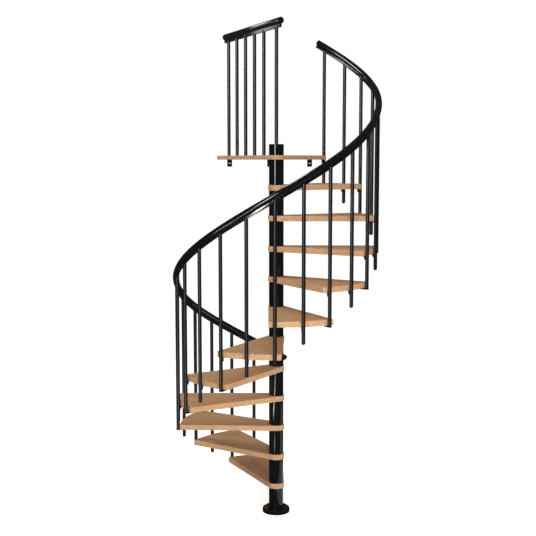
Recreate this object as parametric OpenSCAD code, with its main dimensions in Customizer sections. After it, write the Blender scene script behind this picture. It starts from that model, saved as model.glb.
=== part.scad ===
// Spiral staircase: a steel centre post with wedge treads stacked between spacer tubes,
// a wedge-fronted landing, and a helical handrail on balusters hung outside the tread ends.
// The origin is on the floor, at the post's axis. +Z is up and +Y points at the upper floor.
// The flight climbs counter-clockwise as seen from above.

/* [Flight] */
// Height from one tread's top to the next
riser = 225; // [200:5:240]
// Height of the first tread's top above the floor
first_rise = 229; // [190:1:260]
// Turn from one tread to the next, in degrees
tread_turn = 30; // [27:0.5:31]
// Direction of the joint between the last tread and the landing, in degrees from +X
landing_az = 60; // [55:1:65]

/* [Post] */
// Diameter of the steel core that everything is threaded on
core_d = 60; // [48:1:76]
// Diameter of the spacer tubes and of the post's head
spacer_d = 109; // [90:1:127]
// Height of the post's head above the landing
head_h = 81; // [50:1:120]
// Radius on the top edge of the post's head
head_edge_r = 4; // [1:0.5:8]
// Diameter of the base flange
flange_d = 205; // [180:1:260]
// Thickness of the base flange
flange_t = 30; // [12:1:40]
// Chamfer on the flange's top edge
flange_chamfer = 4; // [1:0.5:6]
// Diameter of the circle of floor bolts
bolt_circle_d = 162; // [150:1:170]
// Diameter of the floor bolt holes
bolt_hole_d = 11; // [9:0.5:13]
// Thickness left below the core's socket in the flange
socket_floor = 6; // [4:1:8]

/* [Treads] */
// Radius of the treads' curved outer end
tread_r = 726; // [600:1:800]
// Thickness of a tread
tread_t = 40; // [32:1:50]
// Radius of the wooden hub at the narrow end
hub_r = 60.5; // [50:0.5:66]
// Angle from a tread's middle line to each straight side, in degrees
tread_side_angle = 13.7; // [12:0.1:16]

/* [Landing] */
// Thickness of the landing slab
landing_t = 32; // [26:1:40]
// Distance from the post's axis to the landing's back edge
landing_depth = 930; // [850:5:1100]
// Distance from the corner baluster's axis to the landing's right-hand edge
landing_side_margin = 16; // [15:1:60]
// Angle of the landing's left edge, in degrees from +Y
landing_left_angle = 25.2; // [20:0.1:35]
// Width of the three wall brackets
bracket_w = 40; // [30:1:50]
// Height of the wall brackets
bracket_h = 58; // [45:1:80]
// Depth of the brackets' upper leg
bracket_depth = 60; // [40:1:90]
// Plate thickness of the wall brackets
bracket_t = 4; // [3:0.5:6]
// Diameter of the hole in each wall bracket
bracket_hole_d = 10; // [8:0.5:12]
// Height of the bracket holes above the bracket's lower edge
bracket_hole_h = 27; // [15:1:30]
// Distance from one wall bracket to the next
bracket_pitch = 331; // [250:1:360]
// Distance from the landing's right-hand edge to the nearest bracket's middle
bracket_inset = 123; // [40:1:150]

/* [Balusters] */
// Diameter of a baluster
baluster_d = 27; // [20:0.5:30]
// Gap between the tread ends and the balusters
baluster_gap = 2.5; // [1:0.5:6]
// Length of a middle baluster below its tread's top
baluster_drop = 160; // [120:1:180]
// Distance from the post's axis to the first baluster on the landing
landing_first = 230; // [180:1:260]
// Spacing of the balusters on the landing
landing_pitch = 180; // [120:1:190]
// Direction of the landing railing, in degrees from +Y
landing_rail_angle = 24.8; // [20:0.2:26]

/* [Handrail] */
// Diameter of the handrail tube
rail_d = 48; // [38:0.5:52]
// Width of the strip under the handrail
strip_w = 16; // [10:0.5:18]
// Height of the strip under the handrail
strip_h = 23; // [14:0.5:26]
// Height of the handrail's middle above the middle of each tread's top
rail_rise = 959; // [850:1:1050]
// Height of the landing rail's middle above the landing
landing_rail_rise = 961; // [850:1:1100]
// Length of handrail below the first baluster, in plan
rail_lower_end = 68; // [30:1:90]
// Length of handrail past the last baluster, in plan
rail_upper_end = 54; // [30:1:90]
// Length of landing rail past its first and last balusters
landing_rail_end = 74; // [40:1:100]
// Height of the domed end caps
cap_dome = 7; // [3:0.5:12]
// Thickness of the end caps' rim
cap_rim = 3; // [2:0.5:5]

/* [Fixings] */
// Plate thickness of the clips
clip_t = 3; // [2:0.5:4]
// Width of the clips under the tread ends
clip_w = 24; // [20:1:36]
// Height of the clips below the wood
clip_h = 26; // [20:1:45]
// Depth of the clips' upper leg
clip_depth = 16; // [12:1:40]
// Thickness of the foot plates below the link balusters
foot_t = 10; // [6:1:14]
// Width of the foot plates
foot_w = 30; // [26:1:40]
// Length of the foot plates
foot_length = 62; // [45:1:80]
// How far the link balusters stand out below the foot plates
foot_proud = 4; // [1:0.5:12]

/* [Hidden] */
// Pieces that only slip over one another are this much apart
fit_gap = 0.5;
// Smallest gap between faces that nearly touch
skin_gap = 0.3;
// Room on each side of the strip in the balusters' forked tops
fork_gap = 0.8;
// The straight sides of the wood cut this far inside the hub's edge
hub_bite = 0.6;
// Cutting bodies run past the wood and steel by this much
over = 5;

tread_count = 11;
flange_bolt_count = 4;
landing_baluster_count = 5;
bracket_count = 3;
rail_piece_count = 4;
rail_sides = 16;
rings_per_piece = 24;
round_fn = 96;
small_fn = 48;

landing_z = first_rise + tread_count * riser - tread_t;
landing_top_z = landing_z + landing_t;
baluster_r = baluster_d / 2;
rail_r = rail_d / 2;
rail_ring_r = tread_r + baluster_gap + baluster_r;
slope = atan(riser / (rail_ring_r * tread_turn * PI / 180));
strip_top = rail_r + skin_gap;
strip_bottom = strip_top + strip_h;
dome_drop = rail_r + (baluster_r + skin_gap) / cos(slope);
landing_side = rail_ring_r * cos(landing_az) + landing_side_margin;
landing_front_angle = tread_side_angle - tread_turn / 2;
landing_rail_z = landing_top_z + landing_rail_rise;
landing_rail_far = landing_first + (landing_baluster_count - 1) * landing_pitch;

function two_digits(n) = str(n < 10 ? "0" : "", n);

// Direction of the joint between tread n and the next one up
function link_az(n) = landing_az - (tread_count - n) * tread_turn;
// Direction of a tread's middle line
function tread_az(n) = link_az(n) - tread_turn / 2;
function tread_top(n) = first_rise + (n - 1) * riser;
// Height of the handrail's middle in a given direction
function rail_z(az) = tread_top(1) + riser * (az - tread_az(1)) / tread_turn + rail_rise;
function plan_degrees(length) = length / rail_ring_r * 180 / PI;

rail_start_az = link_az(0) - plan_degrees(rail_lower_end);
rail_end_az = link_az(tread_count) + plan_degrees(rail_upper_end);
rail_piece_turn = (rail_end_az - rail_start_az) / rail_piece_count;

// ---------- post ----------

module base_flange() {
    color("#161616") difference() {
        union() {
            cylinder(d = flange_d, h = flange_t - flange_chamfer, $fn = round_fn);
            translate([0, 0, flange_t - flange_chamfer])
                cylinder(d1 = flange_d, d2 = flange_d - 2 * flange_chamfer,
                         h = flange_chamfer, $fn = round_fn);
        }
        translate([0, 0, socket_floor])
            cylinder(d = core_d + 2 * fit_gap, h = flange_t, $fn = round_fn);
        for (i = [0:flange_bolt_count - 1])
            rotate(45 + i * 360 / flange_bolt_count)
                translate([bolt_circle_d / 2, 0, -over])
                    cylinder(d = bolt_hole_d, h = flange_t + 2 * over, $fn = small_fn);
    }
}

module centre_core() {
    color("#3a3a3a") translate([0, 0, socket_floor])
        cylinder(d = core_d, h = landing_top_z + head_h / 2 - socket_floor, $fn = round_fn);
}

// A spacer tube between two heights, bored for the core
module spacer(z_low, z_high) {
    translate([0, 0, z_low]) difference() {
        cylinder(d = spacer_d, h = z_high - z_low, $fn = round_fn);
        translate([0, 0, -over])
            cylinder(d = core_d + 2 * fit_gap, h = z_high - z_low + 2 * over, $fn = round_fn);
    }
}

module spacer_tubes() {
    color("#161616") {
        spacer(flange_t, tread_top(1) - tread_t);
        for (n = [1:tread_count])
            spacer(tread_top(n), tread_top(n + 1) - tread_t);
    }
}

// The head has a rounded top edge and a blind socket for the end of the core
module post_head() {
    color("#161616") translate([0, 0, landing_top_z]) difference() {
        union() {
            cylinder(d = spacer_d, h = head_h - head_edge_r, $fn = round_fn);
            translate([0, 0, head_h - head_edge_r])
                rotate_extrude($fn = round_fn) {
                    square([spacer_d / 2 - head_edge_r, head_edge_r]);
                    translate([spacer_d / 2 - head_edge_r, 0])
                        intersection() {
                            circle(r = head_edge_r, $fn = small_fn);
                            square(2 * head_edge_r);
                        }
                }
        }
        translate([0, 0, -over])
            cylinder(d = core_d + 2 * fit_gap, h = head_h / 2 + fit_gap + over, $fn = round_fn);
    }
}

// ---------- wood ----------

// Point at a distance along a line that just cuts the hub's edge, heading in direction az.
// side is 1 for the line on the left of the heading and -1 for the right.
function hub_line(az, side, distance) =
    [(hub_r - hub_bite) * cos(az + 90 * side) + distance * cos(az),
     (hub_r - hub_bite) * sin(az + 90 * side) + distance * sin(az)];

// Wedge with straight sides touching the hub and an outer end on the tread circle
module tread_plan() {
    intersection() {
        circle(r = tread_r, $fn = 2 * round_fn);
        union() {
            circle(r = hub_r, $fn = round_fn);
            polygon([
                hub_line(-tread_side_angle, -1, 0),
                hub_line(-tread_side_angle, -1, 2 * tread_r),
                hub_line(tread_side_angle, 1, 2 * tread_r),
                hub_line(tread_side_angle, 1, 0)
            ]);
        }
    }
}

module tread(n) {
    color("#c99a63") translate([0, 0, tread_top(n) - tread_t])
        rotate(tread_az(n)) linear_extrude(tread_t) difference() {
            tread_plan();
            circle(d = core_d + 2 * fit_gap, $fn = round_fn);
        }
}

landing_front_az = landing_az - landing_front_angle;
landing_left_az = 90 + landing_left_angle;
front_corner_reach =
    (landing_side - hub_line(landing_front_az, -1, 0)[0]) / cos(landing_front_az);
left_corner_reach =
    (landing_depth - hub_line(landing_left_az, 1, 0)[1]) / sin(landing_left_az);

// Plan position of a baluster that stands in direction az
function ring_point(az) = [rail_ring_r * cos(az), rail_ring_r * sin(az)];

module landing_plan() {
    difference() {
        union() {
            circle(r = hub_r, $fn = round_fn);
            polygon([
                hub_line(landing_front_az, -1, 0),
                hub_line(landing_front_az, -1, front_corner_reach),
                [landing_side, landing_depth],
                hub_line(landing_left_az, 1, left_corner_reach),
                hub_line(landing_left_az, 1, 0)
            ]);
        }
        circle(d = core_d + 2 * fit_gap, $fn = round_fn);
        // notch that takes the corner baluster
        translate(ring_point(landing_az)) {
            circle(d = baluster_d + 2 * fit_gap, $fn = small_fn);
            translate([0, -baluster_r - fit_gap])
                square([landing_side, baluster_d + 2 * fit_gap]);
        }
    }
}

module landing_slab() {
    color("#c99a63") translate([0, 0, landing_z])
        linear_extrude(landing_t) landing_plan();
}

module landing_brackets() {
    color("#161616") for (i = [0:bracket_count - 1])
        translate([landing_side - bracket_inset - i * bracket_pitch, landing_depth, landing_z])
            difference() {
                translate([-bracket_w / 2, 0, 0]) union() {
                    translate([0, -bracket_depth, -bracket_t])
                        cube([bracket_w, bracket_depth, bracket_t]);
                    translate([0, -bracket_t, -bracket_h])
                        cube([bracket_w, bracket_t, bracket_h]);
                }
                translate([0, over, bracket_hole_h - bracket_h]) rotate([90, 0, 0])
                    cylinder(d = bracket_hole_d, h = bracket_t + 2 * over, $fn = small_fn);
            }
}

// ---------- balusters ----------

// A round bar from z_low to the crown of its upper dome at z_top
module baluster(z_low, z_top, domed_foot) {
    foot = domed_foot ? baluster_r : 0;
    translate([0, 0, z_low]) rotate_extrude($fn = small_fn) {
        translate([0, foot]) square([baluster_r, z_top - z_low - baluster_r - foot]);
        translate([0, z_top - z_low - baluster_r]) intersection() {
            circle(r = baluster_r, $fn = small_fn);
            square(baluster_d);
        }
        if (domed_foot) translate([0, foot]) intersection() {
            circle(r = baluster_r, $fn = small_fn);
            translate([0, -baluster_d]) square(baluster_d);
        }
    }
}

// Room for the strip in the forked top of a baluster, about the handrail's middle.
// The strip runs along +Y and climbs at run_angle.
module strip_slot(run_angle) {
    reach = 2 * baluster_d;
    climb = reach * tan(run_angle);
    translate([-strip_w / 2 - fork_gap, 0, 0]) rotate([90, 0, 90])
        linear_extrude(strip_w + 2 * fork_gap) polygon([
            [-reach, -climb - strip_bottom - fork_gap], [reach, climb - strip_bottom - fork_gap],
            [reach, climb - fork_gap], [-reach, -climb - fork_gap]
        ]);
}

// A baluster of the flight, standing in direction az with its lower end at z_low
module flight_baluster(az, z_low) {
    rotate(az) translate([rail_ring_r, 0, 0]) difference() {
        baluster(z_low, rail_z(az) - dome_drop + baluster_r, true);
        translate([0, 0, rail_z(az)]) strip_slot(slope);
    }
}

module first_baluster() {
    color("#161616") flight_baluster(link_az(0), tread_top(1) - baluster_drop);
}

// The baluster in the middle of tread n, and the one that ties its back corner to the next
module balusters(n) {
    color("#161616") {
        flight_baluster(tread_az(n), tread_top(n) - baluster_drop);
        flight_baluster(link_az(n), tread_top(n) - tread_t - foot_t - foot_proud);
    }
}

// An angle clip under the wood, its lower leg against the inner side of a baluster
module clip(az, z) {
    inner = rail_ring_r - baluster_r - skin_gap;
    rotate(az) translate([inner, 0, z]) {
        translate([-clip_depth, -clip_w / 2, -clip_t]) cube([clip_depth, clip_w, clip_t]);
        translate([-clip_t, -clip_w / 2, -clip_h]) cube([clip_t, clip_w, clip_h]);
        rotate([90, 0, 0]) linear_extrude(clip_t, center = true)
            polygon([[-clip_t, -clip_t], [-clip_depth, -clip_t], [-clip_t, -clip_h]]);
    }
}

module tread_clips() {
    color("#161616") for (n = [1:tread_count])
        clip(tread_az(n), tread_top(n) - tread_t);
}

// Clips where a link baluster passes the front corner of the wood above it
module link_clips() {
    color("#161616") for (n = [0:tread_count])
        clip(link_az(n), tread_top(n + 1) - tread_t);
}

// Foot plates that hold the lower ends of the link balusters under the treads' back corners
module link_feet() {
    color("#161616") for (n = [1:tread_count])
        rotate(link_az(n)) translate([rail_ring_r, 0, tread_top(n) - tread_t - foot_t]) difference() {
            union() {
                cylinder(d = foot_w, h = foot_t, $fn = small_fn);
                translate([foot_w / 2 - foot_length, -foot_w / 2, 0])
                    cube([foot_length - foot_w / 2, foot_w, foot_t]);
            }
            translate([0, 0, -over])
                cylinder(d = baluster_d + 2 * skin_gap, h = foot_t + 2 * over, $fn = small_fn);
        }
}

// ---------- handrails ----------

// Point of the handrail's surface, whose upright section is the same all the way: out is the
// distance away from the post and up is the height, both from the handrail's middle
function helix_point(az, out, up) = [
    (rail_ring_r + out) * cos(az), (rail_ring_r + out) * sin(az), rail_z(az) + up
];

// Turn that leans a point of the section back along the helix, so that ends are cut square
function lean(up) = -plan_degrees(up * sin(slope) * cos(slope));

// Closed solid through rings of points that follow one another, each with this many sides
module ring_solid(points, sides) {
    last = len(points) / sides - 1;
    walls = [for (i = [0:last - 1]) for (j = [0:sides - 1])
        let (k = (j + 1) % sides, low = i * sides, high = (i + 1) * sides)
        each [[low + j, high + k, high + j], [low + j, low + k, high + k]]];
    polyhedron(
        points = points,
        faces = concat(
            walls,
            [[for (j = [sides - 1:-1:0]) j]],
            [[for (j = [0:sides - 1]) last * sides + j]]
        ),
        convexity = 8
    );
}

// Sweeps a closed section of [out, up] points along the helix
module helix_sweep(section, az_low, az_high) {
    step = (az_high - az_low) / rings_per_piece;
    ring_solid([for (i = [0:rings_per_piece]) for (p = section)
        helix_point(az_low + i * step + lean(p[1]), p[0], p[1])], len(section));
}

// Closed section of the handrail tube, listed the other way round where way is -1
function tube_section(way) = [for (j = [0:rail_sides - 1])
    let (a = way * (j + 0.5) * 360 / rail_sides) [rail_r * cos(a), rail_r * sin(a)]];

function rail_piece_az(i) = rail_start_az + i * rail_piece_turn;

module handrail(i) {
    color("#161616") helix_sweep(tube_section(1), rail_piece_az(i - 1), rail_piece_az(i));
}

module rail_strip(i) {
    flat_bar = [
        [strip_w / 2, -strip_top], [-strip_w / 2, -strip_top],
        [-strip_w / 2, -strip_bottom], [strip_w / 2, -strip_bottom]
    ];
    color("#2a2a2a") helix_sweep(flat_bar, rail_piece_az(i - 1), rail_piece_az(i));
}

// A domed cap for the landing rail, standing on z = 0
module end_cap() {
    dome_r = (rail_r * rail_r + cap_dome * cap_dome) / (2 * cap_dome);
    rotate_extrude($fn = small_fn) intersection() {
        translate([0, cap_rim + cap_dome - dome_r]) circle(r = dome_r, $fn = round_fn);
        square([rail_r, cap_rim + 2 * cap_dome]);
    }
}

// Domed cap on a square end of the helix: way is 1 at the upper end and -1 at the lower end.
// Each step is [distance past the tube's end, size beside the tube's section].
module helix_cap(az, way) {
    steps = concat([[0, 1]], [for (t = [0:20:80]) [cap_rim + cap_dome * sin(t), cos(t)]]);
    rotate(az) translate([rail_ring_r, 0, rail_z(az)]) rotate([slope, 0, 0])
        ring_solid([for (s = steps) for (p = tube_section(way))
            [p[0] * s[1], way * s[0], p[1] * s[1] * cos(slope)]], rail_sides);
}

// Puts its children on the landing railing's line, with +Y along the rail
module along_landing_rail() {
    rotate(landing_rail_angle) children();
}

module rail_end_caps() {
    color("#101010") {
        helix_cap(rail_start_az, -1);
        helix_cap(rail_end_az, 1);
        along_landing_rail() translate([0, 0, landing_rail_z]) {
            translate([0, -landing_rail_end, 0]) rotate([90, 0, 0]) end_cap();
            translate([0, landing_rail_far + landing_rail_end, 0])
                rotate([-90, 0, 0]) end_cap();
        }
    }
}

module landing_rail_baluster(distance, z_low) {
    translate([0, distance, 0]) difference() {
        baluster(z_low, landing_rail_z - rail_r - skin_gap, false);
        translate([0, 0, landing_rail_z]) strip_slot(0);
    }
}

// One baluster stands on the post's head and the others on the landing
module landing_balusters() {
    color("#161616") along_landing_rail() {
        landing_rail_baluster(0, landing_top_z + head_h);
        for (i = [0:landing_baluster_count - 1])
            landing_rail_baluster(landing_first + i * landing_pitch, landing_top_z);
    }
}

module landing_rail() {
    color("#161616") along_landing_rail()
        translate([0, -landing_rail_end, landing_rail_z]) rotate([-90, 0, 0])
            cylinder(d = rail_d, h = landing_rail_far + 2 * landing_rail_end, $fn = small_fn);
}

module landing_rail_strip() {
    color("#2a2a2a") along_landing_rail()
        translate([-strip_w / 2, -landing_rail_end, landing_rail_z - strip_bottom])
            cube([strip_w, landing_rail_far + 2 * landing_rail_end, strip_h]);
}

base_flange();
centre_core();
spacer_tubes();
post_head();
for (n = [1:tread_count]) tread(n);
landing_slab();
landing_brackets();
first_baluster();
for (n = [1:tread_count])
    balusters(n);
tread_clips();
link_clips();
link_feet();
for (i = [1:rail_piece_count]) handrail(i);
for (i = [1:rail_piece_count]) rail_strip(i);
rail_end_caps();
landing_balusters();
landing_rail();
landing_rail_strip();
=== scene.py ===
"""Looks, stage and camera for a spiral staircase.

Laid out as an add-on and run as a script. Lengths are in metres in the model's own frame: the
origin is on the floor at the post's axis, +Z is up and +Y points at the upper floor. Directions in
plan are measured from +X, counter-clockwise as seen from above, which is the way the flight climbs.
"""

import math

import bpy
import numpy as np
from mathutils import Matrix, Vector
from mathutils.geometry import tessellate_polygon


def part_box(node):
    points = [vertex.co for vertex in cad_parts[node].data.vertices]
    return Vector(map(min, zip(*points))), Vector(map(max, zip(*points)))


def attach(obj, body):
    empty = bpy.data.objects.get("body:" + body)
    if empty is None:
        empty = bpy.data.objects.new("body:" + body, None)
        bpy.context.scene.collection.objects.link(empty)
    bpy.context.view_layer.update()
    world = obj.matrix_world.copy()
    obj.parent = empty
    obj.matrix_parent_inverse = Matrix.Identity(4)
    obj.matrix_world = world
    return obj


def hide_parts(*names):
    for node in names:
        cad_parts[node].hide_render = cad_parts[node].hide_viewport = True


bl_info = {
    "name": "Spiral staircase finishes",
    "version": (1, 0, 0),
    "blender": (4, 5, 0),
    "location": "View3D > Sidebar > Staircase",
    "description": "Wood, handrail and fittings of a spiral staircase, with its stage and camera",
    "category": "Object",
}

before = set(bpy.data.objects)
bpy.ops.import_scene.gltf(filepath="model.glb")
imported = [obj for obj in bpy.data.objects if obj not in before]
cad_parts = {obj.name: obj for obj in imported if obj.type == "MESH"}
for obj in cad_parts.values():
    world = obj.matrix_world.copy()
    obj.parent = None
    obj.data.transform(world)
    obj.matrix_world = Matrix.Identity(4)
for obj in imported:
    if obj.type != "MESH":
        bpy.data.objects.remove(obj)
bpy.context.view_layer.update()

TREADS = [f"tread_{n:02d}" for n in range(1, 12)]
HANDRAILS = [f"handrail_{i}" for i in range(1, 5)]
RAIL_STRIPS = [f"rail_strip_{i}" for i in range(1, 5)]
MM = 0.001

ROUND_SIDES = 48  # points round a tube, a cap or a bore
FITTING_SIDES = 24  # points round a screw or a bolt
EDGE_POINTS = 5  # points along an eased edge
TREAD_END_POINTS = 41  # points along a tread's curved outer end
HUB_POINTS = 33  # points along the wood's hub round the post
SLOT_POINTS = 17  # points along the landing's slot for the corner baluster
RAIL_STEPS = 481  # rings along the handrail
DOME_RINGS = 13  # rings of an end cap's dome
DOME_END = math.radians(88)  # last ring of a dome, just short of its top
SHARP_ANGLE = math.radians(35)  # edges sharper than this are not shaded smooth
LANDING_BALUSTERS = 6  # the one on the post's head among them
PATTERN_SHIFT = (3.1, 0.013)  # of the wood's pattern from board to board, along and across

# A button head's rings: radius and height as shares of the head's radius, and flats.
BUTTON_PROFILE = (
    (1.0, 0.0, 0), (1.0, 0.12, 0), (0.88, 0.36, 0), (0.62, 0.54, 0), (0.44, 0.6, 0),
    (0.38, 0.6, 6), (0.38, 0.22, 6),
)
SCREW_HEAD = 4 * MM  # radius of a screw's head
WASHER_RADIUS, WASHER_TOP = 10 * MM, 1.6 * MM
BOLT_FLAT = 8 * MM  # from the middle of a floor bolt to its six flats
BOLT_SHOULDER, BOLT_TOP = 7.2 * MM, 8.0 * MM  # heights of the flats' ends and of the top face
BOLT_FACE = 0.93  # radius of the top face, as a share of BOLT_FLAT

GRAIN_SCALE = (1.6, 26.0, 26.0)  # along a board, across it and through it
PORE_SCALE = (14.0, 420.0, 420.0)
STAVE_OFFSET = 0.37  # of every second row of staves, as a share of a stave
STAVE_SHIFT = 37.0  # of the grain from the palest stave to the darkest
GRAIN_TONE, PORE_TONE, STAVE_TONE = 0.55, 0.35, 0.22  # the most that each darkens the wood
SEAM_TONE, SEAM_SHADE = 0.5, 0.4  # cover of a seam's colour, and its share of the dark grain
WOOD_ROUGHNESS = (0.38, 0.5)

FLOOR_REACH = 40.0  # half the floor's side
FLOOR_GREY = 0.8
FLOOR_GLOW = 0.72  # brings the floor up to white for the camera
WORLD_LIGHT = 0.40
WORLD_LIGHT_CUT = -0.355  # change of WORLD_LIGHT in reflections
WHITE = (1, 1, 1, 1)

# Each light: name, the surfaces that take it, place, target, width, height, power, spin in
# degrees. The glints stand close to the rails they shine on.
LAMPS = (
    ("key", "matt", (1.3, -5.4, 1.8), (0, 0, 1.3), 3.0, 3.0, 195, 0),
    ("top", "matt", (0, -1.0, 7.5), (0, 0, 2.0), 5.0, 5.0, 112, 0),
    ("left_fill", "matt", (-4.5, 1.5, 4.5), (0, 0, 0.5), 2.0, 2.0, 96, 0),
    ("strip_low", "glossy", (-1.70, -4.67, 1.2), (0, 0, 1.6), 0.9, 2.1, 12, 0),
    ("strip_high", "glossy", (-1.70, -4.67, 3.6), (0, 0, 2.8), 0.9, 2.6, 115, 0),
    ("floor_near", "glossy", (-0.67, -1.67, 0.03), (-0.67, -1.67, 1), 0.6, 0.4, 2.7, 68),
    ("floor_far", "glossy", (-1.43, -3.58, 0.03), (-1.43, -3.58, 1), 3.5, 0.4, 60, 68),
    ("floor_panel", "glossy", (1.66, 0.1, 0.03), (1.66, 0.1, 1), 3.1, 1.4, 9.5, 0),
    ("rail_glint", "glossy", (-0.6, 0.33, 4.18), (0.58, 0.45, 3.4), 0.62, 0.5, 10, 0),
    ("bar_glint", "glossy", (-0.8, 0.36, 3.55), (0.58, 0.45, 3.4), 0.55, 0.3, 1.1, 0),
    ("landing_glint", "glossy", (-0.6, 0.86, 3.98), (-0.06, 0.13, 3.66), 0.12, 0.14, 0.35, 0),
    ("landing_bar_glint", "glossy", (-0.79, 0.81, 3.74), (-0.08, 0.15, 3.62), 0.16, 0.15, 0.1, 0),
)


def node_height(node, end):
    """Lowest (end 0) or highest (end 1) point of a CAD node."""
    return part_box(node)[end].z


RISER = node_height("tread_02", 1) - node_height("tread_01", 1)


# ---------- sizes and colours ----------


def length_prop(name, description, default):
    return bpy.props.FloatProperty(
        name=name, description=description, default=default, unit="LENGTH", precision=4
    )


def angle_prop(name, description, default):
    return bpy.props.FloatProperty(
        name=name, description=description, default=math.radians(default), subtype="ANGLE"
    )


def colour_prop(name, description, default):
    return bpy.props.FloatVectorProperty(
        name=name, description=description, default=default, size=3, min=0, max=1, subtype="COLOR"
    )


class StairSizes(bpy.types.PropertyGroup):
    """Sizes of the pieces that are worked out here."""

    tread_turn: angle_prop("Tread turn", "Turn from one tread to the next", 30)
    landing_az: angle_prop("Landing joint", "Direction of the joint before the landing", 60)
    tread_radius: length_prop("Tread radius", "Radius of the treads' curved outer end", 0.726)
    tread_side: angle_prop("Tread side", "Angle from a tread's middle line to its side", 13.7)
    hub_radius: length_prop("Hub radius", "Radius of the wood round the post", 0.0605)
    side_offset: length_prop("Side offset", "Distance from the axis to the sides' lines", 0.0599)
    bore_radius: length_prop("Bore radius", "Radius of the hole for the post's core", 0.0305)
    wood_ease: length_prop("Eased edge", "Radius on the edges of the wood", 0.0025)
    corner_ease: length_prop("Eased corner", "Cut on the corners of the wood", 0.004)
    landing_left: angle_prop("Landing left edge", "Angle of the landing's left edge from +Y", 25.2)
    ring_radius: length_prop("Ring radius", "Radius of the handrail's middle line", 0.742)
    baluster_radius: length_prop("Baluster radius", "Radius of a baluster", 0.0135)
    baluster_room: length_prop("Baluster room", "Gap round the baluster in the landing", 0.0005)
    rail_radius: length_prop("Rail radius", "Radius of the handrail tube", 0.024)
    rail_rise: length_prop("Rail rise", "Handrail's middle above the middle of a tread", 0.959)
    strip_width: length_prop("Bar width", "Width of the bar under the handrail", 0.016)
    strip_height: length_prop("Bar height", "Height of the bar under the handrail", 0.023)
    strip_gap: length_prop("Bar gap", "Gap between handrail and bar", 0.0003)
    strip_ease: length_prop("Bar edge", "Radius on the bar's edges", 0.0015)
    rail_start: length_prop("Rail start", "Handrail below the first baluster, in plan", 0.068)
    rail_end: length_prop("Rail end", "Handrail past the last baluster, in plan", 0.054)
    cap_rim: length_prop("Cap rim", "Straight part of the handrail's end caps", 0.003)
    cap_dome: length_prop("Cap dome", "Height of the end caps' domes", 0.007)
    landing_rail: angle_prop("Landing rail", "Direction of the landing rail from +Y", 24.8)
    landing_rail_start: length_prop("Landing rail start", "Landing rail before the post", 0.074)
    landing_rail_stop: length_prop("Landing rail stop", "Landing rail past the post", 1.024)
    landing_first: length_prop("First landing baluster", "Its distance from the post", 0.230)
    landing_pitch: length_prop("Landing pitch", "Spacing of the balusters on the landing", 0.180)
    bolt_circle: length_prop("Bolt circle", "Radius of the circle of floor bolts", 0.081)
    clip_plate: length_prop("Clip plate", "Thickness of the clips", 0.003)
    clip_reach: length_prop("Clip screws", "From the balusters' ring to the clips' screws", 0.0225)
    clip_spread: length_prop("Clip spread", "Half the spacing of a clip's two screws", 0.007)
    foot_plate: length_prop("Foot plate", "Thickness of the foot plates", 0.010)
    foot_reach: length_prop("Foot screws", "From the ring to the foot plates' screws", 0.036)
    fork_drop: length_prop("Fork screws", "Below the handrail's middle", 0.0385)
    screw_sunk: length_prop("Screw sunk", "Part of a head inside the round bar", 0.0009)
    stave_length: length_prop("Stave length", "Length of the wood's staves", 0.46)
    stave_width: length_prop("Stave width", "Width of the wood's staves", 0.042)
    stave_seam: length_prop("Stave seam", "Width of the glued seams", 0.00025)


class StairColours(bpy.types.PropertyGroup):
    """Colours of the finishes."""

    wood: colour_prop("Wood", "Main colour of the wood", (0.69, 0.41, 0.212))
    wood_dark: colour_prop("Wood grain", "Colour of the wood's darker grain", (0.46, 0.26, 0.135))
    paint: colour_prop("Black paint", "Colour of the painted steel", (0.006, 0.006, 0.0065))
    baluster: colour_prop("Baluster paint", "Colour of the balusters", (0.007, 0.007, 0.0075))
    rail: colour_prop("Handrail", "Colour of the handrail", (0.005, 0.005, 0.0055))
    strip: colour_prop("Rail bar", "Colour of the bar under the handrail", (0.165, 0.165, 0.165))
    steel: colour_prop("Screws", "Colour of the blackened screws and bolts", (0.07, 0.07, 0.072))
    dust: colour_prop("Dust", "Colour of settled dust", (0.22, 0.21, 0.2))


class StairView(bpy.types.PropertyGroup):
    """Where the camera stands and how it looks."""

    place: bpy.props.FloatVectorProperty(
        name="Place", description="Place of the camera", default=(0.0858, -7.2571, 2.663),
        subtype="TRANSLATION", unit="LENGTH",
    )
    tilt: angle_prop("Tilt", "Angle up from looking straight down", 83.7145)
    turn: angle_prop("Turn", "Turn to the left from looking along +Y", 1.1623)
    focal_length: bpy.props.FloatProperty(
        name="Focal length", description="In millimetres, on a 36 mm sensor", default=66.012
    )


def sizes():
    return bpy.context.scene.stair_sizes


def colours():
    return bpy.context.scene.stair_colours


# ---------- meshes ----------


def mesh_piece(name, points, faces):
    """Object with these points and faces, riding on the staircase."""
    mesh = bpy.data.meshes.new(name)
    mesh.from_pydata(points.tolist(), [], [tuple(f) for f in faces])
    mesh.validate()
    mesh.update()
    piece = bpy.data.objects.new(name, mesh)
    bpy.context.scene.collection.objects.link(piece)
    mesh.shade_smooth()
    mesh.set_sharp_from_angle(angle=SHARP_ANGLE)
    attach(piece, "root")
    return piece


def ring_faces(rings, sides):
    """Quads between closed rings of points that are numbered ring by ring."""
    i, j = np.meshgrid(np.arange(rings - 1), np.arange(sides), indexing="ij")
    low, high, right = i * sides, (i + 1) * sides, (j + 1) % sides
    return np.stack((low + j, low + right, high + right, high + j), axis=-1).reshape(-1, 4)


def circle(count):
    """Directions of evenly spaced points round a circle."""
    return np.linspace(0, 2 * math.pi, count, endpoint=False)


def plan_point(azimuth, distance):
    """Points in plan, at a distance from the axis in each direction."""
    return np.stack([np.cos(azimuth) * distance, np.sin(azimuth) * distance], axis=-1)


def at_height(plan, height):
    """Points in plan lifted to one height, or each to its own."""
    return np.column_stack([plan, np.broadcast_to(height, len(plan))])


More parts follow.
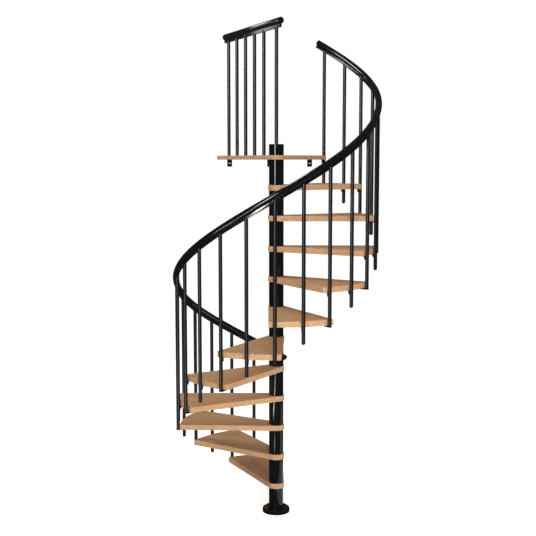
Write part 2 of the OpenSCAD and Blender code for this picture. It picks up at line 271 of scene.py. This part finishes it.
def inset_loop(loop, inset):
    """Moves a counter-clockwise closed loop inwards.

    Each point goes along the mean of its two sides' inward normals, stretched so that both sides
    move by the inset.
    """
    before = loop - np.roll(loop, 1, axis=0)
    after = np.roll(loop, -1, axis=0) - loop
    before /= np.linalg.norm(before, axis=1, keepdims=True)
    after /= np.linalg.norm(after, axis=1, keepdims=True)
    normal_a = np.stack([-before[:, 1], before[:, 0]], axis=1)
    normal_b = np.stack([-after[:, 1], after[:, 0]], axis=1)
    total = normal_a + normal_b
    stretch = 1 + np.sum(normal_a * normal_b, axis=1, keepdims=True)
    return loop + inset * total / stretch


def cut_corners(loop, corners, cut):
    """Replaces each numbered corner of a loop by two points, the cut away from it on each side."""
    pieces = []
    for number, point in enumerate(loop):
        if number not in corners:
            pieces.append(point)
            continue
        for other in (loop[number - 1], loop[(number + 1) % len(loop)]):
            way = other - point
            pieces.append(point + way * cut / np.linalg.norm(way))
    return np.array(pieces)


def board(name, loop, z_low, z_high, turn, number):
    """Flat wooden board with eased edges and a round bore for the post's core.

    The side is the profile (inset, height) of a rounded edge carried round the loop: a quarter
    circle, a straight and a quarter circle. The flat faces are triangles between loop and bore.
    The attribute board_place holds each point's place along the direction turn, across it and up,
    moved on by the board's number, for the wood's pattern.
    """
    ease = sizes().wood_ease
    quarter = np.linspace(0, math.pi / 2, EDGE_POINTS)
    inset = np.concatenate([ease * (1 - np.sin(quarter)), ease * (1 - np.sin(quarter[::-1]))])
    height = np.concatenate(
        [z_low + ease * (1 - np.cos(quarter)), z_high - ease * (1 - np.cos(quarter[::-1]))]
    )
    rings = [at_height(inset_loop(loop, step), z) for step, z in zip(inset, height)]
    side_count = len(rings) * len(loop)
    bore = plan_point(circle(ROUND_SIDES), sizes().bore_radius)
    points = np.concatenate([*rings, at_height(bore, z_low), at_height(bore, z_high)])
    faces = ring_faces(len(rings), len(loop)).tolist()
    faces += (ring_faces(2, ROUND_SIDES)[:, ::-1] + side_count).tolist()
    rim = rings[0][:, :2]
    flat = tessellate_polygon(
        [[Vector((*p, 0)) for p in rim], [Vector((*p, 0)) for p in bore[::-1]]]
    )
    low_points = np.concatenate([np.arange(len(loop)), side_count + np.arange(ROUND_SIDES)[::-1]])
    triangles = low_points[np.array(flat)]
    a, b, c = (points[triangles[:, k], :2] for k in range(3))
    turned = (b - a)[:, 0] * (c - a)[:, 1] - (b - a)[:, 1] * (c - a)[:, 0] < 0
    triangles[turned] = triangles[turned][:, ::-1]
    lift = np.where(triangles < side_count, (len(rings) - 1) * len(loop), ROUND_SIDES)
    faces += triangles[:, ::-1].tolist() + (triangles + lift).tolist()
    piece = mesh_piece(name, points, faces)
    along = points[:, 0] * math.cos(turn) + points[:, 1] * math.sin(turn)
    across = points[:, 1] * math.cos(turn) - points[:, 0] * math.sin(turn)
    shift_along, shift_across = (step * number for step in PATTERN_SHIFT)
    place = np.column_stack([along + shift_along, across + shift_across, points[:, 2] - z_low])
    layer = piece.data.attributes.new("board_place", "FLOAT_VECTOR", "POINT")
    layer.data.foreach_set("vector", place.astype(np.float32).ravel())
    return piece


def tread_loop(azimuth):
    """Plan of a tread: curved outer end, two straight sides, arc of the hub round the post."""
    s = sizes()
    side_end = s.tread_side + math.asin(s.side_offset / s.tread_radius)
    hub_start = s.tread_side + math.asin(s.side_offset / s.hub_radius)
    outer = np.linspace(-side_end, side_end, TREAD_END_POINTS)
    hub = np.linspace(hub_start, 2 * math.pi - hub_start, HUB_POINTS)
    loop = np.concatenate(
        [plan_point(azimuth + outer, s.tread_radius), plan_point(azimuth + hub, s.hub_radius)]
    )
    return cut_corners(loop, {0, TREAD_END_POINTS - 1}, s.corner_ease)


def landing_loop():
    """Plan of the landing: front edge, right side with a slot for the corner baluster, back edge,
    left edge and the arc of the hub round the post."""
    s = sizes()
    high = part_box("landing_slab")[1]
    front_az = s.landing_az - (s.tread_side - s.tread_turn / 2)
    left_az = math.pi / 2 + s.landing_left
    front_foot = plan_point(front_az - math.pi / 2, s.side_offset)
    left_foot = plan_point(left_az + math.pi / 2, s.side_offset)
    front_way, left_way = plan_point(front_az, 1.0), plan_point(left_az, 1.0)
    front_corner = front_foot + front_way * (high.x - front_foot[0]) / front_way[0]
    left_corner = left_foot + left_way * (high.y - left_foot[1]) / left_way[1]
    post = plan_point(s.landing_az, s.ring_radius)
    room = s.baluster_radius + s.baluster_room
    slot_turn = np.linspace(1.5 * math.pi, 0.5 * math.pi, SLOT_POINTS)
    slot = post + plan_point(slot_turn, room)
    hub_from = left_az + math.asin(s.side_offset / s.hub_radius)
    hub_to = front_az - math.asin(s.side_offset / s.hub_radius) + 2 * math.pi
    hub_turn = np.linspace(hub_from, hub_to, HUB_POINTS)
    loop = np.concatenate(
        [
            [front_corner],
            [[high.x, post[1] - room]],
            slot,
            [[high.x, post[1] + room]],
            [[high.x, high.y]],
            [left_corner],
            plan_point(hub_turn, s.hub_radius),
        ]
    )
    back_right = SLOT_POINTS + 3
    return cut_corners(loop, {0, back_right, back_right + 1}, s.corner_ease)


def tread_azimuth(number):
    """Direction of a tread's middle line. The first tread's number is 0."""
    s = sizes()
    return s.landing_az - (len(TREADS) - number - 0.5) * s.tread_turn


def flight_start():
    """Direction of the first baluster."""
    return sizes().landing_az - len(TREADS) * sizes().tread_turn


def rail_slope():
    """Slope of the handrail's middle line."""
    return math.atan(RISER / (sizes().ring_radius * sizes().tread_turn))


def rail_height(azimuth):
    """Height of the handrail's middle in a direction counted on from the first tread's."""
    s = sizes()
    treads_on = (azimuth - tread_azimuth(0)) / s.tread_turn
    return node_height("tread_01", 1) + RISER * treads_on + s.rail_rise


def rail_span():
    """First and last direction of the handrail."""
    s = sizes()
    start = flight_start() - s.rail_start / s.ring_radius
    return start, s.landing_az + s.rail_end / s.ring_radius


def helix_sweep(section, azimuths):
    """Carries an upright section of (out, up) points along the handrail's helix.

    In direction a each point is (ring radius + out) from the axis and rail_height(a) + up above the
    floor. A point is leant back along the helix by up*sin(slope)*cos(slope) in plan, which keeps
    the surface and makes each ring square to the run.
    """
    ring_radius, slope = sizes().ring_radius, rail_slope()
    out, up = section[None, :, 0], section[None, :, 1]
    a = azimuths[:, None] - up * math.sin(slope) * math.cos(slope) / ring_radius
    distance = ring_radius + out
    height = rail_height(a) + up
    return np.stack([distance * np.cos(a), distance * np.sin(a), height], axis=-1).reshape(-1, 3)


def swept_piece(name, section, azimuths):
    """Closed bar: the section's walls along the helix and its two flat ends."""
    points = helix_sweep(section, azimuths)
    rows, sides = len(azimuths), len(section)
    faces = ring_faces(rows, sides)[:, ::-1].tolist()
    faces.append(list(range(sides)))
    faces.append(list(range(rows * sides - 1, (rows - 1) * sides - 1, -1)))
    return mesh_piece(name, points, faces)


def domed_cap(name, place, run, rise, fullness):
    """Cap on an end of a handrail tube, a straight rim and then a dome.

    place is the middle of the tube's end, run is the unit vector out of it, and rise is the height
    of the tube's square section over its width. A ring lies rim + dome*sin(t)**(1/fullness) out
    along the run, with cos(t) of the tube's section: fullness 1 is a quarter ellipse, and at 0.5
    the dome rises from the rim at a slope, as a shallow cap of a sphere does.
    """
    s = sizes()
    turn = np.linspace(0, DOME_END, DOME_RINGS)
    distance = np.concatenate([[0], s.cap_rim + s.cap_dome * np.sin(turn) ** (1 / fullness)])
    size = np.concatenate([[1], np.cos(turn)]) * s.rail_radius
    around = circle(ROUND_SIDES)
    run = Vector(run)
    side = Vector((-run.y, run.x, 0)).normalized()
    up = run.cross(side)
    points = (
        np.array(place)
        + distance[:, None, None] * np.array(run)
        + (size[:, None] * np.cos(around))[..., None] * np.array(side)
        + (size[:, None] * np.sin(around))[..., None] * np.array(up) * rise
    ).reshape(-1, 3)
    faces = ring_faces(len(distance), ROUND_SIDES).tolist()
    faces.append(list(range(ROUND_SIDES - 1, -1, -1)))
    faces.append(list(range(len(points) - ROUND_SIDES, len(points))))
    return mesh_piece(name, points, faces)


def fittings(name, rings, places, axes):
    """Small fittings of one kind, one at each place along its own axis or along one axis.

    Each ring is (size, height, flats). A round ring has no flats. In a ring with six flats the
    point at angle t is size / cos(w) from the axis, where w is the angle from t to the middle of
    the nearest flat. Rings follow one another up the axis and may turn back down into a socket.
    """
    axes = np.broadcast_to(np.array(axes, dtype=float), places.shape)
    upright = np.abs(axes[:, 2:3]) > 0.9
    helper = np.where(upright, [[1.0, 0.0, 0.0]], [[0.0, 0.0, 1.0]])
    side = np.cross(helper, axes)
    side /= np.linalg.norm(side, axis=1, keepdims=True)
    up = np.cross(axes, side)
    turn = circle(FITTING_SIDES)
    size, height, flats = (np.array(column, dtype=float)[:, None] for column in zip(*rings))
    sector = 2 * math.pi / np.maximum(flats, 1)
    to_corner = np.abs((turn + sector / 2) % sector - sector / 2)
    radius = np.where(flats > 0, size / np.cos(sector / 2 - to_corner), size)
    across, along = np.cos(turn)[None, :, None], np.sin(turn)[None, :, None]
    outward = across * side[:, None, :] + along * up[:, None, :]
    points = (
        places[:, None, None, :]
        + height[None, :, :, None] * axes[:, None, None, :]
        + radius[None, :, :, None] * outward[:, None, :, :]
    )
    one = len(rings) * FITTING_SIDES
    start = np.arange(len(places))[:, None] * one
    walls = ring_faces(len(rings), FITTING_SIDES)[None] + start[:, :, None]
    under = np.arange(FITTING_SIDES - 1, -1, -1)[None] + start
    over = np.arange(one - FITTING_SIDES, one)[None] + start
    faces = walls.reshape(-1, 4).tolist() + under.tolist() + over.tolist()
    return mesh_piece(name, points.reshape(-1, 3), faces)


def button_screw():
    """Rings of a screw's button head with a six-sided socket."""
    return [(size * SCREW_HEAD, up * SCREW_HEAD, flats) for size, up, flats in BUTTON_PROFILE]


def rounded_rectangle(width, low, high, ease):
    """Closed section of a flat bar with eased edges, counter-clockwise in (out, up)."""
    quarter = np.linspace(0, math.pi / 2, EDGE_POINTS)
    side, top, bottom = width / 2 - ease, high - ease, low + ease
    middles = [(side, top), (-side, top), (-side, bottom), (side, bottom)]
    return np.concatenate(
        [middle + plan_point(quarter + k * math.pi / 2, ease) for k, middle in enumerate(middles)]
    )


# ---------- materials ----------


def new_material(name):
    """Material with its node tree and its Principled shader."""
    material = bpy.data.materials.new(name)
    material.use_nodes = True
    tree = material.node_tree
    shader = next(n for n in tree.nodes if n.type == "BSDF_PRINCIPLED")
    return material, tree, shader


def plug(tree, socket, value):
    """Links an input to another node's output, or sets it to a value."""
    if isinstance(value, bpy.types.NodeSocket):
        tree.links.new(value, socket)
    else:
        socket.default_value = value


def plug_all(tree, node, inputs):
    """Plugs each named or numbered input of a node."""
    for key, value in inputs.items():
        plug(tree, node.inputs[key], value)


def add_node(tree, kind, inputs=None, **settings):
    """New node with these settings and inputs."""
    node = tree.nodes.new(kind)
    for key, value in settings.items():
        setattr(node, key, value)
    plug_all(tree, node, inputs or {})
    return node


def maths(tree, operation, first, second, clamp=False):
    """Result of an operation on two values."""
    inputs = {0: first, 1: second}
    return add_node(
        tree, "ShaderNodeMath", inputs, operation=operation, use_clamp=clamp
    ).outputs[0]


def remap(tree, value, old_range, new_range=(0.0, 1.0)):
    """Value carried from one range to another, and held inside the new one."""
    inputs = {
        "Value": value, "From Min": old_range[0], "From Max": old_range[1],
        "To Min": new_range[0], "To Max": new_range[1],
    }
    return add_node(tree, "ShaderNodeMapRange", inputs).outputs["Result"]


def noise(tree, place, scale, detail, **inputs):
    """Noise with these inputs; one with a W is four-dimensional."""
    sockets = {"Vector": place, "Scale": scale, "Detail": detail, **inputs}
    dimensions = "4D" if "W" in inputs else "3D"
    return add_node(
        tree, "ShaderNodeTexNoise", sockets, noise_dimensions=dimensions
    ).outputs["Fac"]


def bumped(tree, height, strength, distance):
    """Normal tilted by a height."""
    inputs = {"Height": height, "Strength": strength, "Distance": distance}
    return add_node(tree, "ShaderNodeBump", inputs).outputs["Normal"]


def opaque(colour):
    """Colour with full alpha, as the colour inputs take it."""
    return (*colour, 1.0)


def colour_mix(tree, factor, first, second):
    """Colour that goes from the first to the second as the factor goes from 0 to 1."""
    mix = add_node(tree, "ShaderNodeMix", data_type="RGBA")
    first_input, second_input = (n for n in mix.inputs if n.type == "RGBA")
    plug(tree, mix.inputs[0], factor)
    plug(tree, first_input, first)
    plug(tree, second_input, second)
    return next(n for n in mix.outputs if n.type == "RGBA")


def new_group(name, ins, outs):
    """Shader node group with these sockets: (name, type, default) in and (name, type) out."""
    group = bpy.data.node_groups.new(name, "ShaderNodeTree")
    for socket, kind, default in ins:
        made = group.interface.new_socket(name=socket, in_out="INPUT", socket_type=kind)
        if default is not None:
            made.default_value = default
    for socket, kind in outs:
        group.interface.new_socket(name=socket, in_out="OUTPUT", socket_type=kind)
    return group, group.nodes.new("NodeGroupInput"), group.nodes.new("NodeGroupOutput")


def uneven_skin_group():
    """Slow changes in roughness and a fine ripple in height, as on sprayed or moulded surfaces."""
    group, taken, given = new_group(
        "uneven_skin",
        [
            ("Place", "NodeSocketVector", None),
            ("Patch Scale", "NodeSocketFloat", 14.0),
            ("Ripple Scale", "NodeSocketFloat", 260.0),
            ("Ripple Strength", "NodeSocketFloat", 0.01),
            ("Roughness Low", "NodeSocketFloat", 0.2),
            ("Roughness High", "NodeSocketFloat", 0.3),
        ],
        [("Roughness", "NodeSocketFloat"), ("Normal", "NodeSocketVector")],
    )
    value = taken.outputs
    patch = noise(group, value["Place"], scale=value["Patch Scale"], detail=3.0)
    spread = remap(group, patch, (0.35, 0.65), (value["Roughness Low"], value["Roughness High"]))
    ripple = noise(group, value["Place"], scale=value["Ripple Scale"], detail=2.0)
    normal = bumped(group, ripple, strength=value["Ripple Strength"], distance=0.5 * MM)
    plug_all(group, given, {"Roughness": spread, "Normal": normal})


def dust_group():
    """Mask of the dust that settles on faces that look up."""
    group, taken, given = new_group(
        "settled_dust",
        [("Place", "NodeSocketVector", None), ("Amount", "NodeSocketFloat", 0.1)],
        [("Mask", "NodeSocketFloat")],
    )
    facing = add_node(group, "ShaderNodeNewGeometry")
    split = add_node(group, "ShaderNodeSeparateXYZ", {"Vector": facing.outputs["Normal"]})
    upward = remap(group, split.outputs["Z"], (0.5, 1.0))
    patch = noise(group, taken.outputs["Place"], scale=40.0, detail=5.0)
    patchy = maths(group, "MULTIPLY", patch, upward)
    mask = maths(group, "MULTIPLY", patchy, taken.outputs["Amount"])
    plug_all(group, given, {"Mask": mask})


def group_node(tree, name, inputs):
    """Node that stands for one of the groups above."""
    return add_node(tree, "ShaderNodeGroup", inputs, node_tree=bpy.data.node_groups[name])


def coated_material(name, colour, low, high, ripple, specular, dust=0.05, metallic=0.0):
    """Painted, plated or moulded surface with an uneven skin and a little settled dust."""
    material, tree, shader = new_material(name)
    place = add_node(tree, "ShaderNodeTexCoord").outputs["Object"]
    skin = group_node(
        tree, "uneven_skin",
        {"Place": place, "Roughness Low": low, "Roughness High": high, "Ripple Strength": ripple},
    )
    settled = group_node(tree, "settled_dust", {"Place": place, "Amount": dust})
    paint = colour_mix(tree, settled.outputs["Mask"], opaque(colour), opaque(colours().dust))
    plug_all(
        tree, shader,
        {
            "Base Color": paint, "Roughness": skin.outputs["Roughness"],
            "Normal": skin.outputs["Normal"], "Metallic": metallic, "Specular IOR Level": specular,
        },
    )
    return material


def wood_material():
    """Lacquered boards glued up from staves.

    The staves are long bricks that lie along the board, each with its own tone. The grain is noise
    drawn out along the board, shifted from stave to stave, and pores are finer, longer noise.
    """
    s, c = sizes(), colours()
    material, tree, shader = new_material("lacquered_staves")
    place = add_node(
        tree, "ShaderNodeAttribute", attribute_name="board_place", attribute_type="GEOMETRY"
    ).outputs["Vector"]
    staves = add_node(
        tree, "ShaderNodeTexBrick",
        {
            "Vector": place, "Color1": (0, 0, 0, 1), "Color2": WHITE, "Mortar": (0.5, 0.5, 0.5, 1),
            "Scale": 1.0, "Mortar Size": s.stave_seam, "Mortar Smooth": 0.1, "Bias": 0.0,
            "Brick Width": s.stave_length, "Row Height": s.stave_width,
        },
        offset=STAVE_OFFSET, offset_frequency=2, squash=1.0,
    )
    shift = maths(tree, "MULTIPLY", staves.outputs["Color"], STAVE_SHIFT)
    stretched = add_node(tree, "ShaderNodeMapping", {"Vector": place, "Scale": GRAIN_SCALE})
    grain = noise(
        tree, stretched.outputs["Vector"], scale=3.0, detail=6.0,
        W=shift, Roughness=0.6, Distortion=0.4,
    )
    fine = add_node(tree, "ShaderNodeMapping", {"Vector": place, "Scale": PORE_SCALE})
    pores = noise(
        tree, fine.outputs["Vector"], scale=1.5, detail=2.0, W=shift, Roughness=0.5
    )
    figure = remap(tree, grain, (0.35, 0.7), (0.0, GRAIN_TONE))
    flecks = remap(tree, pores, (0.55, 0.8), (0.0, PORE_TONE))
    tone = maths(tree, "MULTIPLY", staves.outputs["Color"], STAVE_TONE)
    depth = maths(tree, "ADD", maths(tree, "ADD", figure, flecks), tone, clamp=True)
    grained = colour_mix(tree, depth, opaque(c.wood), opaque(c.wood_dark))
    seam_depth = maths(tree, "MULTIPLY", staves.outputs["Fac"], SEAM_TONE)
    seam_colour = opaque([SEAM_SHADE * v for v in c.wood_dark])
    plug_all(
        tree, shader,
        {
            "Base Color": colour_mix(tree, seam_depth, grained, seam_colour),
            "Roughness": remap(tree, grain, (0.3, 0.7), WOOD_ROUGHNESS),
            "Normal": bumped(tree, depth, strength=0.06, distance=0.4 * MM),
            "Specular IOR Level": 0.4,
        },
    )
    return material


def material_named(name):
    """A finish by name, built the first time that it is asked for."""
    if name in bpy.data.materials:
        return bpy.data.materials[name]
    if "uneven_skin" not in bpy.data.node_groups:
        uneven_skin_group()
        dust_group()
    if name == "lacquered_staves":
        return wood_material()
    c = colours()
    # Colour, lowest and highest roughness, ripple and specular level; some have dust and metallic.
    recipes = {
        "black_post_paint": (c.paint, 0.07, 0.10, 0.006, 0.5),
        "black_baluster_paint": (c.baluster, 0.32, 0.38, 0.0, 0.8),
        "black_handrail": (c.rail, 0.10, 0.14, 0.0, 0.75),
        "grey_rail_bar": (c.strip, 0.14, 0.18, 0.0, 0.5, 0.02, 1.0),
        "black_cap": (c.rail, 0.12, 0.18, 0.0, 0.5),
        "blackened_steel": (c.steel, 0.30, 0.42, 0.02, 0.5, 0.02, 1.0),
    }
    return coated_material(name, *recipes[name])


def finish_piece(piece, name):
    """Gives a piece made here its finish."""
    piece.data.materials.clear()
    piece.data.materials.append(material_named(name))


def finish_node(node, name):
    """Gives a piece of the frame its finish."""
    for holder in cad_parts[node].material_slots:
        holder.material = material_named(name)


# ---------- operators ----------


class StairOperator:
    """What every operator of the staircase shares."""

    bl_options = {"REGISTER", "UNDO"}


class STAIR_OT_camera(StairOperator, bpy.types.Operator):
    """Place the camera"""

    bl_idname = "stair.camera"
    bl_label = "Camera"

    def execute(self, context):
        view = context.scene.stair_view
        lens = bpy.data.cameras.new("camera")
        lens.lens = view.focal_length
        lens.sensor_width = 36.0
        lens.clip_end = 200.0
        camera = bpy.data.objects.new("camera", lens)
        camera.location = view.place
        camera.rotation_euler = (view.tilt, 0.0, view.turn)
        context.scene.collection.objects.link(camera)
        context.scene.camera = camera
        return {"FINISHED"}


class STAIR_OT_treads(StairOperator, bpy.types.Operator):
    """Make the wooden treads"""

    bl_idname = "stair.treads"
    bl_label = "Treads"

    def execute(self, context):
        for number, node in enumerate(TREADS):
            azimuth = tread_azimuth(number)
            low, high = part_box(node)
            piece = board(
                f"tread_board_{number + 1:02d}", tread_loop(azimuth), low.z, high.z, azimuth,
                number + 1,
            )
            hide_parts(node)
            finish_piece(piece, "lacquered_staves")
        return {"FINISHED"}


class STAIR_OT_landing_board(StairOperator, bpy.types.Operator):
    """Make the landing's wooden board"""

    bl_idname = "stair.landing_board"
    bl_label = "Landing board"

    def execute(self, context):
        low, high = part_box("landing_slab")
        piece = board("landing_board", landing_loop(), low.z, high.z, 0.0, len(TREADS) + 1)
        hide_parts("landing_slab")
        finish_piece(piece, "lacquered_staves")
        return {"FINISHED"}


class STAIR_OT_handrail(StairOperator, bpy.types.Operator):
    """Make the smooth helical handrail and the bar below it"""

    bl_idname = "stair.handrail"
    bl_label = "Handrail"

    def execute(self, context):
        s = sizes()
        azimuths = np.linspace(*rail_span(), RAIL_STEPS)
        tube = plan_point(circle(ROUND_SIDES), s.rail_radius)
        piece = swept_piece("handrail_tube", tube, azimuths)
        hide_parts(*HANDRAILS)
        finish_piece(piece, "black_handrail")
        top = -s.rail_radius - s.strip_gap
        bar = rounded_rectangle(s.strip_width, top - s.strip_height, top, s.strip_ease)
        piece = swept_piece("handrail_bar", bar, azimuths)
        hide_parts(*RAIL_STRIPS)
        finish_piece(piece, "grey_rail_bar")
        return {"FINISHED"}


class STAIR_OT_end_caps(StairOperator, bpy.types.Operator):
    """Make the domed caps on the ends of both handrails"""

    bl_idname = "stair.end_caps"
    bl_label = "End caps"

    def execute(self, context):
        s, slope = sizes(), rail_slope()
        pieces = []
        for name, azimuth, way in zip(("cap_lower", "cap_upper"), rail_span(), (-1, 1)):
            place = (*plan_point(azimuth, s.ring_radius), rail_height(azimuth))
            level = way * math.cos(slope)
            run = (-level * math.sin(azimuth), level * math.cos(azimuth), way * math.sin(slope))
            pieces.append(domed_cap(name, place, run, math.cos(slope), 1.0))
        low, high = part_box("landing_rail")
        for name, distance, way in (
            ("cap_post_side", -s.landing_rail_start, -1), ("cap_floor_side", s.landing_rail_stop, 1)
        ):
            plan = plan_point(math.pi / 2 + s.landing_rail, 1.0)
            place = (*(plan * distance), (low.z + high.z) / 2)
            pieces.append(domed_cap(name, place, (*(plan * way), 0.0), 1.0, 0.5))
        for piece in pieces:
            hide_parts("rail_end_caps")
            finish_piece(piece, "black_cap")
        return {"FINISHED"}


class STAIR_OT_fittings(StairOperator, bpy.types.Operator):
    """Add the floor bolts and the screws in the clips, foot plates and forks"""

    bl_idname = "stair.fittings"
    bl_label = "Screws and bolts"

    def execute(self, context):
        s = sizes()
        for piece in (self.floor_bolts(s), self.board_screws(s), self.fork_screws(s)):
            finish_piece(piece, "blackened_steel")
        return {"FINISHED"}

    def floor_bolts(self, s):
        """Bolts with washers on the floor flange."""
        turn = math.radians(45) + np.arange(4) * math.pi / 2
        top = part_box("base_flange")[1].z
        places = at_height(plan_point(turn, s.bolt_circle), top)
        rings = [
            (WASHER_RADIUS, 0.0, 0), (WASHER_RADIUS, WASHER_TOP, 0), (BOLT_FLAT, WASHER_TOP, 6),
            (BOLT_FLAT, BOLT_SHOULDER, 6), (BOLT_FACE * BOLT_FLAT, BOLT_TOP, 0),
        ]
        return fittings("floor_bolts", rings, places, (0, 0, 1))

    def board_screws(self, s):
        """Screws that go up into the wood through the clips and the foot plates."""
        clip_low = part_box("tread_01")[0].z - s.clip_plate
        spots = []
        for step in range(2 * len(TREADS) + 1):
            azimuth = flight_start() + step * s.tread_turn / 2
            level = clip_low + RISER * (step // 2)
            for off in (-s.clip_spread, s.clip_spread):
                spots.append((azimuth, s.clip_reach, off, level))
        for step in range(1, len(TREADS) + 1):
            level = clip_low - s.foot_plate + s.clip_plate + RISER * (step - 1)
            spots.append((flight_start() + step * s.tread_turn, s.foot_reach, 0.0, level))
        azimuth, reach, off, level = np.array(spots).T
        plan = plan_point(azimuth, s.ring_radius - reach) + plan_point(azimuth + math.pi / 2, off)
        return fittings("board_screws", button_screw(), at_height(plan, level), (0, 0, -1))

    def fork_screws(self, s):
        """Screws through the forked tops of the balusters and the bar, on the inner side."""
        azimuth = s.landing_az + np.arange(-2 * len(TREADS), 1) * s.tread_turn / 2
        reach = s.ring_radius - s.baluster_radius + s.screw_sunk
        level = rail_height(azimuth) - s.fork_drop
        flight = at_height(plan_point(azimuth, reach), level)
        inward = at_height(-plan_point(azimuth, 1.0), 0.0)
        along = plan_point(math.pi / 2 + s.landing_rail, 1.0)
        across = plan_point(s.landing_rail, 1.0)
        spaces = np.arange(LANDING_BALUSTERS - 1)
        distance = np.concatenate([[0.0], s.landing_first + spaces * s.landing_pitch])
        low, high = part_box("landing_rail")
        rail_z = (low.z + high.z) / 2
        plan = distance[:, None] * along + (s.baluster_radius - s.screw_sunk) * across
        landing = at_height(plan, rail_z - s.fork_drop)
        facing = np.tile([*across, 0.0], (LANDING_BALUSTERS, 1))
        places, axes = np.concatenate([flight, landing]), np.concatenate([inward, facing])
        return fittings("fork_screws", button_screw(), places, axes)


class STAIR_OT_steelwork(StairOperator, bpy.types.Operator):
    """Give the steel and the landing rail their finishes"""

    bl_idname = "stair.steelwork"
    bl_label = "Steelwork"

    def execute(self, context):
        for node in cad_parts:
            if node.startswith(("balusters_", "first_baluster", "landing_balusters")):
                finish_node(node, "black_baluster_paint")
            elif node == "landing_rail":
                finish_node(node, "black_handrail")
            elif node == "landing_rail_strip":
                finish_node(node, "grey_rail_bar")
            elif node not in TREADS + HANDRAILS + RAIL_STRIPS + ["landing_slab", "rail_end_caps"]:
                finish_node(node, "black_post_paint")
        return {"FINISHED"}


def area_light(name, taken_by, place, target, width, height, power, spin):
    """Rectangular light that only "matt" or only "glossy" surfaces take.

    spin, in degrees, turns it about the way it looks.
    """
    light = bpy.data.lights.new(name, "AREA")
    light.shape = "RECTANGLE"
    light.size = width
    light.size_y = height
    light.energy = power
    lamp = bpy.data.objects.new(name, light)
    lamp.visible_camera = False
    lamp.visible_glossy = taken_by == "glossy"
    lamp.visible_diffuse = taken_by == "matt"
    lamp.location = place
    way = Vector(target) - Vector(place)
    lamp.rotation_euler = way.to_track_quat("-Z", "Y").to_euler()
    lamp.rotation_euler.rotate_axis("Z", math.radians(spin))
    bpy.context.scene.collection.objects.link(lamp)


class STAIR_OT_stage(StairOperator, bpy.types.Operator):
    """Set up the floor, the lights and the plain white surroundings"""

    bl_idname = "stair.stage"
    bl_label = "Stage"

    def execute(self, context):
        self.floor()
        self.surroundings(context)
        for lamp in LAMPS:
            area_light(*lamp)
        context.scene.view_settings.view_transform = "Standard"
        return {"FINISHED"}

    def floor(self):
        """Large white floor, which reflections do not see."""
        corners = ((-1, -1), (1, -1), (1, 1), (-1, 1))
        points = at_height(FLOOR_REACH * np.array(corners), 0.0)
        mesh = bpy.data.meshes.new("floor")
        mesh.from_pydata(points.tolist(), [], [(0, 1, 2, 3)])
        floor = bpy.data.objects.new("floor", mesh)
        bpy.context.scene.collection.objects.link(floor)
        material, tree, shader = new_material("white_floor")
        path = add_node(tree, "ShaderNodeLightPath")
        plug_all(
            tree, shader,
            {
                "Base Color": opaque([FLOOR_GREY] * 3), "Roughness": 0.8, "Specular IOR Level": 0.0,
                "Emission Color": WHITE,
                "Emission Strength": maths(
                    tree, "MULTIPLY", path.outputs["Is Camera Ray"], FLOOR_GLOW
                ),
            },
        )
        mesh.materials.append(material)
        floor.visible_glossy = False

    def surroundings(self, context):
        """World that is white to the camera, soft to matt surfaces and dim in reflections."""
        world = bpy.data.worlds.new("surroundings")
        context.scene.world = world
        world.use_nodes = True
        tree = world.node_tree
        tree.nodes.clear()
        ray = add_node(tree, "ShaderNodeLightPath").outputs
        seen = maths(tree, "ADD", ray["Is Camera Ray"], ray["Is Transmission Ray"], clamp=True)
        cut = maths(tree, "MULTIPLY", ray["Is Glossy Ray"], WORLD_LIGHT_CUT)
        level = maths(tree, "ADD", cut, WORLD_LIGHT)
        soft = add_node(tree, "ShaderNodeBackground", {"Color": WHITE, "Strength": level})
        white = add_node(tree, "ShaderNodeBackground", {"Color": WHITE, "Strength": 1.0})
        mix = add_node(
            tree, "ShaderNodeMixShader", {0: seen, 1: soft.outputs[0], 2: white.outputs[0]}
        )
        add_node(tree, "ShaderNodeOutputWorld", {"Surface": mix.outputs[0]})


class STAIR_PT_panel(bpy.types.Panel):
    """Sizes, colours and steps of the staircase"""

    bl_idname = "STAIR_PT_panel"
    bl_label = "Spiral staircase"
    bl_space_type = "VIEW_3D"
    bl_region_type = "UI"
    bl_category = "Staircase"

    def draw(self, context):
        scene = context.scene
        for group in (scene.stair_sizes, scene.stair_colours, scene.stair_view):
            column = self.layout.column()
            for name in group.__annotations__:
                column.prop(group, name)
        for operator in OPERATORS:
            self.layout.operator(operator.bl_idname)


OPERATORS = (
    STAIR_OT_camera,
    STAIR_OT_treads,
    STAIR_OT_landing_board,
    STAIR_OT_handrail,
    STAIR_OT_end_caps,
    STAIR_OT_fittings,
    STAIR_OT_steelwork,
    STAIR_OT_stage,
)
CLASSES = (StairSizes, StairColours, StairView, *OPERATORS, STAIR_PT_panel)


def register():
    for cls in CLASSES:
        bpy.utils.register_class(cls)
    bpy.types.Scene.stair_sizes = bpy.props.PointerProperty(type=StairSizes)
    bpy.types.Scene.stair_colours = bpy.props.PointerProperty(type=StairColours)
    bpy.types.Scene.stair_view = bpy.props.PointerProperty(type=StairView)


def unregister():
    del bpy.types.Scene.stair_view
    del bpy.types.Scene.stair_colours
    del bpy.types.Scene.stair_sizes
    for cls in reversed(CLASSES):
        bpy.utils.unregister_class(cls)


def main():
    register()
    bpy.ops.stair.camera()
    bpy.ops.stair.treads()
    bpy.ops.stair.landing_board()
    bpy.ops.stair.handrail()
    bpy.ops.stair.end_caps()
    bpy.ops.stair.fittings()
    bpy.ops.stair.steelwork()
    bpy.ops.stair.stage()


if __name__ == "__main__":
    main()
